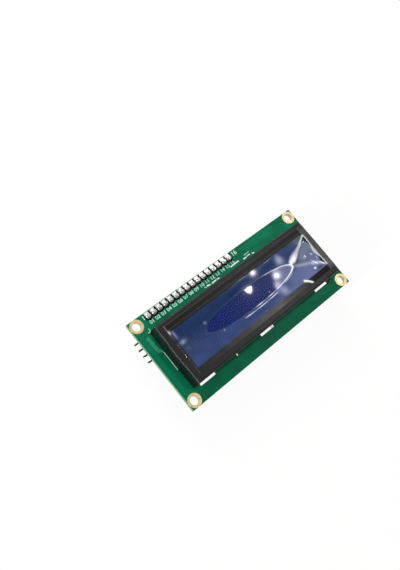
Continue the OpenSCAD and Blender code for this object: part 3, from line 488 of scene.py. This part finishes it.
def filmCreases(x, y):
    # height of the creases at the loose end, and how strong the painted highlight along each of them is
    low, high = follow(film["ridgeLow"], x), follow(film["ridgeHigh"], x)
    across = (y - low) / (high - low)
    ridge = ease(across / 0.3 + 0.5) * ease((1.25 - across) / 0.7) * follow(film["ridgeHighlight"], x)
    ridge *= ease((x - 19.7) / 0.8) * ease((32.7 - x) / 0.6)
    edge = bell(across, 0.22) * ease((x - 26.5) / 2.5) * (1 if x < 32.3 else 0)
    away, t = farFrom(x, y, film["faint"])
    faint = bell(away, 0.6) * 0.22 * ease((1.1 - t) * 3) * ease(t * 5 + 0.4)
    away, t = farFrom(x, y, film["glint"])
    glint = bell(away, 0.72 - 0.52 * t) * (0.62 + 0.33 * math.sin(x * 4.5 + y * 2)) * ease(t * 5 + 0.3)
    bend = follow(film["fold"], y)
    reach = ease((y + 8.1) / 0.6) * ease((6.3 - y) / 0.5)
    fold = (0.75 * bell(x - bend, 0.16) + 0.4 * bell(x - 32.5, 0.15)) * reach * (0.8 + 0.2 * math.sin(y * 7))
    fold += 0.4 * reach * (ease((x - bend) / 0.15) if x < 32.5 else 0)
    lifts = film["lifts"]
    lift = lifts["ridge"] * ridge + lifts["glint"] * glint + lifts["faint"] * faint
    lift += lifts["fold"] * min(1, fold)
    return lift, ridge, max(edge, glint), faint, fold


def faceLook(x, y, mottle):
    # over the black bezel: darker above, milky at the loose end; below the window a painted reflection makes
    # it brown-grey, brightest in the middle, and painted highlights run along the film's edges
    shade = 0.008 + 0.002 * mottle
    # painted reflection below the window, brightest in the middle
    if y < -7.9:
        shade = 0.02 + 0.045 * spot(x, 0, (2, 0), 16, 9) - 0.03 * ease((x - 19) / 4) + 0.012 * mottle
    if x > 32.1:
        shade = 0.06 + 0.05 * spot(x, y, (33.6, -7.6), 0.8, 1.8)
        shade += 0.03 * spot(x, y, (33.8, -4), 0.5, 2) + 0.02 * mottle
    # painted highlights along the film's top edge, by the window's top edge and along the film's left edge
    shade += 0.035 * bell(y - 9.3, 0.16) + 0.025 * bell(y - 7.45, 0.2)
    shade += 0.16 * bell(x + 32.65, 0.16) * (0.25 + 0.75 * ease((y - 3) / 4))
    return Vector((shade, shade * 0.985, shade * 0.95)), 0.9


def hazeLook(x, y, e, mottle):
    # over the display: ink blue above, paler and more purple below and to the right
    right = ease((x + 4) / 34)
    below = ease((3.5 - y) / 9)
    tint = filmTint["upper"].lerp(filmTint["lower"], below)
    tint = tint.lerp(filmTint["right"], right * below * 0.85 + 0.1 * right)
    loose = ease((x - 22) / 5) * ease((3.3 - abs(y + 0.5 - 0.15 * (x - 22))) / 2)
    tint = tint.lerp(filmTint["loose"], loose)
    band = 0.9 * spot(x + 0.75 * y, 0, (32, 0), 1.9, 1) * ease((x - 26) / 3)
    tint = tint.lerp(filmTint["band"], band)
    tint = tint.lerp(filmTint["corner"], ease((x - 24) / 6) * ease((y - 4.4 - 0.3 * (x - 28)) / 1.5))
    tint = tint.lerp(filmTint["shadow"], 0.8 * spot(x, y, (29.3, -7.2), 1.8, 0.8))
    tint *= 1 + 0.22 * mottle
    alpha = 0.62 + 0.2 * right
    if e < 1.02:  # the patch that lies flat: clear, hazy only beyond a slanting line at its right end
        haze = ease((x - 9.3 - 0.55 * y) / 3.5)
        share = ease((1.02 - e) / 0.04)
        tint = tint.lerp(filmTint["flat"].lerp(filmTint["flatHaze"], haze), share)
        alpha += (0.04 + 0.62 * haze - alpha) * share
    # painted violet glints of the lamps in the wavy film
    violet = 0.55 * spot(x, y, (17.6, 4.0), 1.5 - 0.2 * (y - 4), 1.7) + spots(x, y, film["violetGlints"])
    tint = tint.lerp(filmTint["violet"], min(1, violet))
    return tint, max(alpha, min(0.9, alpha + violet * 0.6))


def rimHighlight(x, y, e):
    # how bright the painted highlights on the rims of the patch are
    top = bell(e - 1.0, 0.022) * ease((x - 6) / 5) * ease((y + 0.9) / 0.6) * (1.0 - 0.25 * ease((x - 15) / 4))
    wave = 0.62 + 0.38 * math.cos((x - 0.5) * 1.08)
    low = bell(e - 1.0, 0.026) * ease((x + 3.5) / 3) * (wave if x < 9.5 else 0.85)
    beat = 0.35 + 0.65 * abs(math.sin((x + 2) * 0.52))
    low += bell(e - 1.24, 0.034) * ease((x + 8.5) / 2.5) * ease((10.5 - x) / 2.5) * beat
    low += 0.8 * bell(e - 1.09, 0.02) * ease((x - 13) / 2) * ease((20 - x) / 4)
    low *= ease((-0.6 - y) / 0.8)
    far = 0.16 * bell(e - 1.0, 0.03) * ease((x + 16) / 16)
    return min(1, top + low + far + spot(x, y, (20.5, -0.7), 0.3, 0.5))


def sliverDark(x, y):
    # how dark the painted shade in the two slivers just inside the fold is
    inner = follow(film["fold"], y) - 0.15 - x
    upperWide = 0.35 + 0.75 * ease((y - 1.2) / 3)
    lowerWide = 0.35 + 0.95 * bell(y + 5.3, 1.3)
    upper = ease((upperWide - inner) / 0.35) * ease((y - 0.4) / 1.5) * ease((5.2 - y) / 0.5)
    lower = ease((lowerWide - inner) / 0.35) * ease((-2.9 - y) / 0.8) * ease((y + 7.2) / 0.6)
    return min(1, ease(inner / 0.12) * (upper + lower))


def filmLook(x, y, e, inside, marks):
    # haze colour and how much of it the film shows at this place, with its painted highlights, glints and
    # shade
    ridge, glint, faint, fold = marks
    away, t = farFrom(x, y, film["streak"])
    white = ridge + glint + faint + fold + bell(away, 0.42 - 0.12 * t) * 1.1 + spots(x, y, film["whiteDots"])
    mottle = cloud(x, y * 1.5, 4, 6)
    if inside <= 0:
        tint, alpha = faceLook(x, y, mottle)
    else:
        tint, alpha = hazeLook(x, y, e, mottle)
        rim = rimHighlight(x, y, e)
        tint = tint.lerp(filmTint["rim"], rim)
        alpha = max(alpha, rim)
        # painted shadow along the window's top and right edges
        edge = ease(1 - abs(inside) / 0.3) * (ease((y - 6.2) / 0.3) + 0.5 * ease((x - 31) * 2))
        tint = tint.lerp(filmTint["edge"], 0.8 * min(1, edge))
        # painted white glints of the lamps
        white += spots(x, y, film["lampSpots"])
    white = min(1, white)
    tint = tint.lerp(filmTint["white"], white)
    alpha = max(alpha, min(1, white * 1.15))
    dark = sliverDark(x, y) * (1 - 0.9 * min(1, ridge + glint))
    tint = tint.lerp(filmTint["sliver"], dark)
    alpha = max(alpha, 0.95 * dark)
    return (*tint, min(1, max(0.0, alpha)))


def makeFilmMaterial():
    # thin polyethylene film: clear, glossy, milky where it lifts, with painted highlights along its creases
    # and rims, and painted glints and shade
    material, tree, output = newTree("clear film")
    look = addNode(tree, "ShaderNodeVertexColor", {"layer_name": "look"})
    place = addNode(tree, "ShaderNodeTexCoord", {}).outputs["Object"]
    ripple = addNode(tree, "ShaderNodeTexNoise", {"Scale": 160, "Detail": 2, "Roughness": 0.45},
                     {"Vector": place})
    bump = addNode(tree, "ShaderNodeBump", {"Strength": 0.3, "Distance": 0.02 * mm},
                   {"Height": ripple.outputs["Fac"]}).outputs["Normal"]
    milk = addNode(tree, "ShaderNodeBsdfPrincipled", {
        "Roughness": 0.3, "IOR": 1.5, "Specular IOR Level": 0.08,
        "Coat Weight": 0.05, "Coat Roughness": 0.06}, {"Base Color": look.outputs["Color"], "Normal": bump})
    clear = addNode(tree, "ShaderNodeBsdfTransparent", {"Color": (1, 1, 1, 1)})
    gloss = addNode(tree, "ShaderNodeBsdfGlossy", {"Roughness": 0.3, "Color": (1, 1, 1, 1)}, {"Normal": bump})
    mirror = addNode(tree, "ShaderNodeFresnel", {"IOR": 1.07}, {"Normal": bump})
    thin = addNode(tree, "ShaderNodeMixShader", {}, {"Fac": mirror.outputs[0]})
    tree.links.new(clear.outputs[0], thin.inputs[1])
    tree.links.new(gloss.outputs[0], thin.inputs[2])
    skin = addNode(tree, "ShaderNodeMixShader", {}, {"Fac": look.outputs["Alpha"]})
    tree.links.new(thin.outputs[0], skin.inputs[1])
    tree.links.new(milk.outputs[0], skin.inputs[2])
    tree.links.new(skin.outputs[0], output.inputs["Surface"])
    return material


def makeFilm():
    bm = bmesh.new()
    bmesh.ops.create_grid(bm, x_segments=film["steps"][0], y_segments=film["steps"][1], size=1)
    paintLayer = bm.verts.layers.float_color.new("look")
    (x0, y0), (x1, y1) = film["low"], film["high"]
    for v in bm.verts:
        x = x0 + (v.co.x + 1) / 2 * (x1 - x0)
        y = y0 + (v.co.y + 1) / 2 * (y1 - y0)
        z, e, inside = filmShape(x, y)
        lift, *marks = filmCreases(x, y)
        v[paintLayer] = filmLook(x, y, e, inside, marks)
        v.co = Vector((x, y, z + lift)) * mm
    bmesh.ops.solidify(bm, geom=bm.faces[:], thickness=-film["thick"] * mm)
    piece = finishPiece("filmSkin", bm, makeFilmMaterial(), smooth=True)
    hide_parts("protective_film")


makeFilm()
print("film ready")


def stroke(bm, a, b, width, z, thick=0.02):
    # one straight printed line, as a thin bar
    a, b = Vector(a), Vector(b)
    way = b - a
    turn = Matrix.Rotation(math.atan2(way.y, way.x), 4, "Z")
    size = Matrix.Diagonal(((way.length + width) * mm, width * mm, thick * mm, 1))
    middle = Matrix.Translation(Vector(((a.x + b.x) / 2, (a.y + b.y) / 2, z)) * mm)
    bmesh.ops.create_cube(bm, size=1, matrix=middle @ turn @ size)


def path(bm, points, width, z, thick=0.02):
    for a, b in zip(points, points[1:]):
        stroke(bm, a, b, width, z, thick)


def drawLines(bm, rows, z):
    # rows of a width and the points of a line
    for width, points in rows:
        path(bm, points, width, z)


def frameLines(x0, y0, x1, y1):
    return [(x0, y0), (x1, y0), (x1, y1), (x0, y1), (x0, y0)]


def arcLines(x, y, r, start, end, steps=40):
    turns = [math.radians(start + (end - start) * i / steps) for i in range(steps + 1)]
    return [(x + r * math.cos(a), y + r * math.sin(a)) for a in turns]


numberStyle = {"size": 1.4, "deep": 0.01, "bold": 0.035}  # of the number's height, mm, of its height


def numbers(bm, words, z, up=1):
    # plain numbers: (text, x, y, height), readable from the side that up names
    for text, x, y, height in words:
        curve = bpy.data.curves.new("number", "FONT")
        curve.body = text
        curve.size = height * numberStyle["size"] * mm
        curve.extrude = numberStyle["deep"] * mm
        curve.offset = height * numberStyle["bold"] * mm
        curve.align_x = "CENTER"
        curve.align_y = "CENTER"
        carrier = bpy.data.objects.new("number", curve)
        mesh = bpy.data.meshes.new_from_object(carrier)
        turn = Matrix.Rotation(0 if up > 0 else math.pi, 4, "Y")
        mesh.transform(Matrix.Translation(Vector((x, y, z)) * mm) @ turn)
        bm.from_mesh(mesh)
        bpy.data.objects.remove(carrier)
        bpy.data.curves.remove(curve)
        bpy.data.meshes.remove(mesh)


def makeInk(name, low, high, rough, size):
    s = dict(low=low, high=high, patch=size, rough=rough, grain=0.15, bump=0.006, shine=0.06)
    return makeFinish(name, s)


# screen print: chalky, slightly broken; the short dashes on the front are nearly white
whiteInk = makeInk("white legend ink", "#8fcdb8", "#c3e8da", 0.6, 1.2)
brightInk = makeInk("near-white dashes", "#d5f0e6", "#ffffff", 0.5, 1.2)
paleInk = makeInk("white ink on black", "#b4b4ba", "#f0f0f2", 0.6, 1.2)
# copper under the mask reads lighter than the bare mask
greenTrack = makeInk("mask over copper", "#0e6f50", "#158261", 0.3, 4)
darkTrack = makeInk("black mask over copper", "#24232d", "#34333e", 0.32, 4)
bareMask = makeInk("thick mask", "#14704f", "#3f9a76", 0.35, 1.2)  # frosted patch at the board's end
paintedJointShade = makeInk("painted joint shade", "#070b09", "#101713", 0.3, 1)  # painted shade: dark, glassy, between and beside the joints

pinX, pinPitch, pinCount = -32.0, 2.54, 16
frontZ, rearZ, adapterZ = 0.012, -1.612, -5.752  # marks lie just off the faces
trackLift = 0.004  # tracks on the rear faces lie nearer the board than the legend

frontMarks = {
    "rowX": 0.1, "rowY": 13.95, "rowHigh": 1.35,  # two-digit numbers beside the pins
    "ends": [("1", -33.7, 16.5, 1.5), ("16", 9.1, 16.6, 1.7)],
    "lines": [(0.22, [(-34.6, 12.6), (-34.6, 11.5)]), (0.22, [(-35.5, 11.5), (-34.6, 11.5)]),
              (0.3, [(-35.5, 3.2), (-35.5, -4.05)]), (0.3, [(-8.8, 12.7), (-8.2, 12.4)]),
              (0.3, [(12, 13.8), (14.2, 13.9)]), (0.3, [(6.3, 13.6), (6.4, 14.3)]),
              (0.12, arcLines(-37.1, -5.4, 0.08, 0, 360, 8))],
    "dashes": [[(-7.6, 12.6), (-6.5, 12.4)], [(-5.3, 12.35), (-3, 12.55), (-2.1, 12.4)],
               [(4.7, 13.15), (8.5, 13.3)], [(10.8, 12.7), (13.9, 12.9)], [(15.1, 12.7), (15.7, 12.4)]],
    "dashWide": 0.42, "trackWide": 0.2, "edgeWide": 0.18,
    # painted shade under and beside the joints
    "shadeStripY": 16.3, "shadeStripWide": 2.4, "shadeStripDrop": 0.006,
    "shadeConePlace": (0.12, 15.55, 0.3), "shadeConeRadii": (1.02, 0.6), "shadeConeHigh": 0.6,
    "padY": (16.6, 16.95), "padWide": 1.75, "padLift": 0.02, "padThick": 0.06,
    "patchLines": [(1.3, 0.004, [(-36.9, 9.9), (-36.7, 4.6)]), (0.8, 0.006, [(-36.3, 5.0), (-35.9, 3.9)])],
}


def markFront():
    s = frontMarks
    pins = [pinX + i * pinPitch for i in range(pinCount)]
    bm = bmesh.new()
    words = [("%02d" % (i + 1), x + s["rowX"], s["rowY"], s["rowHigh"]) for i, x in enumerate(pins)]
    numbers(bm, words + s["ends"], frontZ)
    drawLines(bm, s["lines"], frontZ)
    finishPiece("frontLegend", bm, whiteInk)
    bm = bmesh.new()
    drawLines(bm, [(s["dashWide"], points) for points in s["dashes"]], frontZ)
    finishPiece("frontDashes", bm, brightInk)
    bm = bmesh.new()
    for i in range(5):  # bus that runs round the right end
        y = 17.1 - i * 0.5
        path(bm, [(11 + i * 0.8, y - 0.4), (30 - i * 0.6, y - 0.4), (33.5 - i * 0.5, y - 1.9 - i * 0.3),
                  (36.4 + i * 0.5, y - 4.6), (36.4 + i * 0.5, 9)], s["trackWide"], frontZ)
    for i in range(4):  # tracks from the pins to the chips, and along the lower edge
        path(bm, [(7.5 + i * 2.2, 15.4 - i * 0.4), (9 + i * 2.4, 13.6), (15 + i * 2.6, 12.3)],
             s["trackWide"], frontZ)
        y = -13.9 - i * 0.55
        path(bm, [(19 + i * 1.5, y), (33.2 + i * 0.3, y), (36.2 + i * 0.5, y + 3 + i * 0.3),
                  (36.2 + i * 0.5, -7.4)], s["trackWide"], frontZ)
    for i in range(3):  # tracks down the left end
        path(bm, [(-38.9 + i * 0.5, 12), (-38.9 + i * 0.5, -11.5 + i * 0.4), (-37 + i, -13.8 - i * 0.1)],
             s["edgeWide"], frontZ)
    for i in range(26):  # short fingers that come out from under the bezel
        x = 1.5 + i * 0.62
        path(bm, [(x, -12.5), (x, -13.1 - 0.25 * ((i * 7) % 3))], s["trackWide"], frontZ)
    finishPiece("frontTracks", bm, greenTrack)
    bm = bmesh.new()
    # painted shade: a dark strip under the row of joints
    path(bm, [(pins[0] - s["rowX"], s["shadeStripY"]), (pins[-1] + s["rowX"], s["shadeStripY"])],
         s["shadeStripWide"], frontZ - s["shadeStripDrop"])
    low, high = s["shadeConeRadii"]
    for x in pins:  # painted shade between the joints, in low dark cones on their side away from the board's edge
        middle = Matrix.Translation((Vector((x, 0, 0)) + Vector(s["shadeConePlace"])) * mm)
        bmesh.ops.create_cone(bm, cap_ends=True, segments=20, radius1=low * mm, radius2=high * mm,
                              depth=s["shadeConeHigh"] * mm, matrix=middle)
    finishPiece("jointShadeStrip", bm, paintedJointShade)
    bm = bmesh.new()
    for x in pins:  # tinned pads that reach to the board's edge
        path(bm, [(x, y) for y in s["padY"]], s["padWide"], frontZ + s["padLift"], s["padThick"])
    finishPiece("frontPads", bm, made["tin solder"])
    bm = bmesh.new()
    for width, drop, points in s["patchLines"]:
        path(bm, points, width, frontZ - drop)
    finishPiece("endPatch", bm, bareMask)


driverRing, controllerRing = (13.3, 0.7), (-12.8, 0.7)  # centres of the two resin blobs
rearMarks = {
    "numbers": [("1", -33.9, 16.9, 1.5), ("16", 9.9, 16.3, 1.6), ("1", -26.6, -8.9, 1.2),
                ("2", -22.3, -8.8, 1.2), ("3", 24.9, 12.5, 1.3), ("4", 29.4, 7.4, 1.3),
                ("5", 33.9, -4.6, 1.3), ("1", -21.6, -3.6, 1.3), ("2", 20.6, -4.6, 1.3)],
    "lines": [(0.2, arcLines(*controllerRing, 8.0, 0, 360, 64)),
              (0.2, arcLines(*driverRing, 6.15, 0, 360, 56)), (0.3, [(-32.6, -0.5), (-32.6, -4.6)])],
    "boxes": [(16.9, 11, 23.2, 14), (-33.3, -8, -28, -5.1), (-25, -7.7, -19.7, -5), (28.1, -1, 30.6, 3.9),
              (26.2, 4.3, 30.4, 6.5), (26.2, -8.1, 32.8, -1.4), (37.6, -2.8, 39.7, 1.7)],
    "boxWide": 0.2, "busWide": 0.15, "trackWide": 0.16,
}


def around(centre, wide, angle, high=None):
    return (centre[0] + wide * math.cos(angle), centre[1] + (high or wide) * math.sin(angle))


def markRear():
    s = rearMarks
    bm = bmesh.new()
    drawLines(bm, s["lines"] + [(s["boxWide"], frameLines(*box)) for box in s["boxes"]], rearZ)
    numbers(bm, s["numbers"], rearZ, up=-1)
    finishPiece("rearLegend", bm, whiteInk)
    bm = bmesh.new()
    thin, wide, z = s["busWide"], s["trackWide"], rearZ + trackLift
    for i in range(9):  # buses along the long edges and between the resin blobs
        y = -14.2 - i * 0.36
        path(bm, [(-33.5 + i * 0.4, y), (32 - i * 0.5, y), (35.6, y + 3.2)], thin, z)
    for i in range(7):
        y = 9.6 + i * 0.5
        path(bm, [(9 + i * 0.3, y), (24 - i * 0.4, y), (27 - i * 0.3, y - 2.6)], wide, z)
    for i in range(8):
        y = 3.9 - i * 0.85
        path(bm, [(-4.6, y * 0.75), (-1.5, y), (4, y), (7, y * 0.7)], wide, z)
    for i in range(10):  # tracks that fan out from the blobs
        a = math.radians(200 + i * 14)
        bend = around((12, 0), 9.2, a)[0] + i * 0.5
        path(bm, [around(driverRing, 6.6, a), around(driverRing, 9, a), (bend, -9.4)], thin, z)
        path(bm, [around(controllerRing, 8.4, a), around(controllerRing, 10.4, a, 10.2)], thin, z)
    for i in range(6):  # tracks along the two ends
        path(bm, [(-38.7 + i * 0.5, -12.5 + i * 0.4), (-38.7 + i * 0.5, 12 - i * 0.5)], thin, z)
        path(bm, [(34.4 + i * 0.35, 13 - i * 0.7), (34.4 + i * 0.35, 2.5 + i * 0.5)], thin, z)
    finishPiece("rearTracks", bm, greenTrack)


adapterMarks = {
    "numbers": [("1", -31.9, 13.95, 0.9), ("4", -29.9, 4.3, 1.0), ("3", -29.9, 6.8, 1.0),
                ("2", -29.9, 9.3, 1.0), ("1", -29.9, 11.9, 1.0), ("0", -27.4, -0.15, 0.95),
                ("1", -24.95, -0.15, 0.95), ("2", -22.5, -0.15, 0.95), ("16", 6.3, 13.8, 0.9),
                ("1", -7.4, 13.6, 0.9), ("3", -4.5, 7.0, 0.8), ("4", -1.85, 7.0, 0.8),
                ("5", 0.8, 7.0, 0.8), ("2", 6.9, 5.7, 0.9)],
    "cellLow": (14.75, 15.15), "cellHigh": (17.55, 18.05), "cellWide": 0.14,
    # round the pin row, the chip, the trimmer, the cable header and the jumper
    "lines": [(0.18, frameLines(-33.4, 14.75, 7.3, 18.05)), (0.18, [(-30.6, 14.75), (-30.6, 18.05)]),
              (0.16, [(-8.9, 14.1), (-18.1, 14.1), (-18.1, 2.9)]),
              (0.16, [(-20.4, 14.0), (-28.9, 14.0), (-28.9, 5.6), (-28.2, 5.6)]),
              (0.16, frameLines(-33.7, 2.8, -30.7, 13.3)), (0.16, [(4.9, 6.6), (4.9, 11.9), (7.6, 11.9)]),
              (0.5, [(4.75, 2.9), (4.75, 6.2)]), (0.13, arcLines(-3.8, 10.5, 2.0, 22.5, 382.5, 8))],
    "boxes": [(-2.35, 8.5, -0.45, 12.5), (2.25, 3.3, 4.15, 7.1), (0.5, 8.4, 4.3, 12.1)],
    "upright": [-4.5 + i * 2.65 for i in range(3)], "lying": [-13.9, -10.05, -5.5, -2.0],  # chip parts, x
    "boxWide": 0.13, "trackWide": 0.14, "linkWide": 0.13,
    "leadY": 8.5, "leadPitch": 1.27,  # of the chip's leads
}


def markAdapter():
    s = adapterMarks
    bm = bmesh.new()
    for i in range(pinCount + 1):  # cells of the pin row
        x = pinX + (i - 0.5) * pinPitch
        for ends in (s["cellLow"], s["cellHigh"]):
            path(bm, [(x, y) for y in ends], s["cellWide"], adapterZ)
    boxes = s["boxes"] + [(x - 0.95, 2.3, x + 0.95, 6.1) for x in s["upright"]]
    boxes += [(x - 1.75, 0.2, x + 1.75, 2.0) for x in s["lying"]]
    drawLines(bm, s["lines"] + [(s["boxWide"], frameLines(*box)) for box in boxes], adapterZ)
    numbers(bm, s["numbers"], adapterZ, up=-1)
    finishPiece("adapterLegend", bm, paleInk)
    bm = bmesh.new()
    wide, z = s["trackWide"], adapterZ + trackLift
    for i in range(8):  # tracks from the chip to the pin row and to the small parts
        y = s["leadY"] + (i - 3.5) * s["leadPitch"]
        path(bm, [(-6.7, y), (-5.9 + 0.25 * i, y), (-5.9 + 0.25 * i, y + 0.4)], wide, z)
        path(bm, [(-20.1, y), (-20.9 - 0.12 * i, y), (-20.9 - 0.12 * i, y - 0.5)], wide, z)
    for i in range(6):
        y = 3.2 - i * 0.5
        path(bm, [(-30.3, y), (-28.6 + i * 0.2, y), (-19.5, 2.4 - i * 0.45)], wide, z)
        path(bm, [(-8.4 + i * 0.4, 3.2), (-8.4 + i * 0.4, 13.9)], s["linkWide"], z)
    finishPiece("adapterTracks", bm, darkTrack)


markFront()
markRear()
markAdapter()
print("legends and tracks ready")
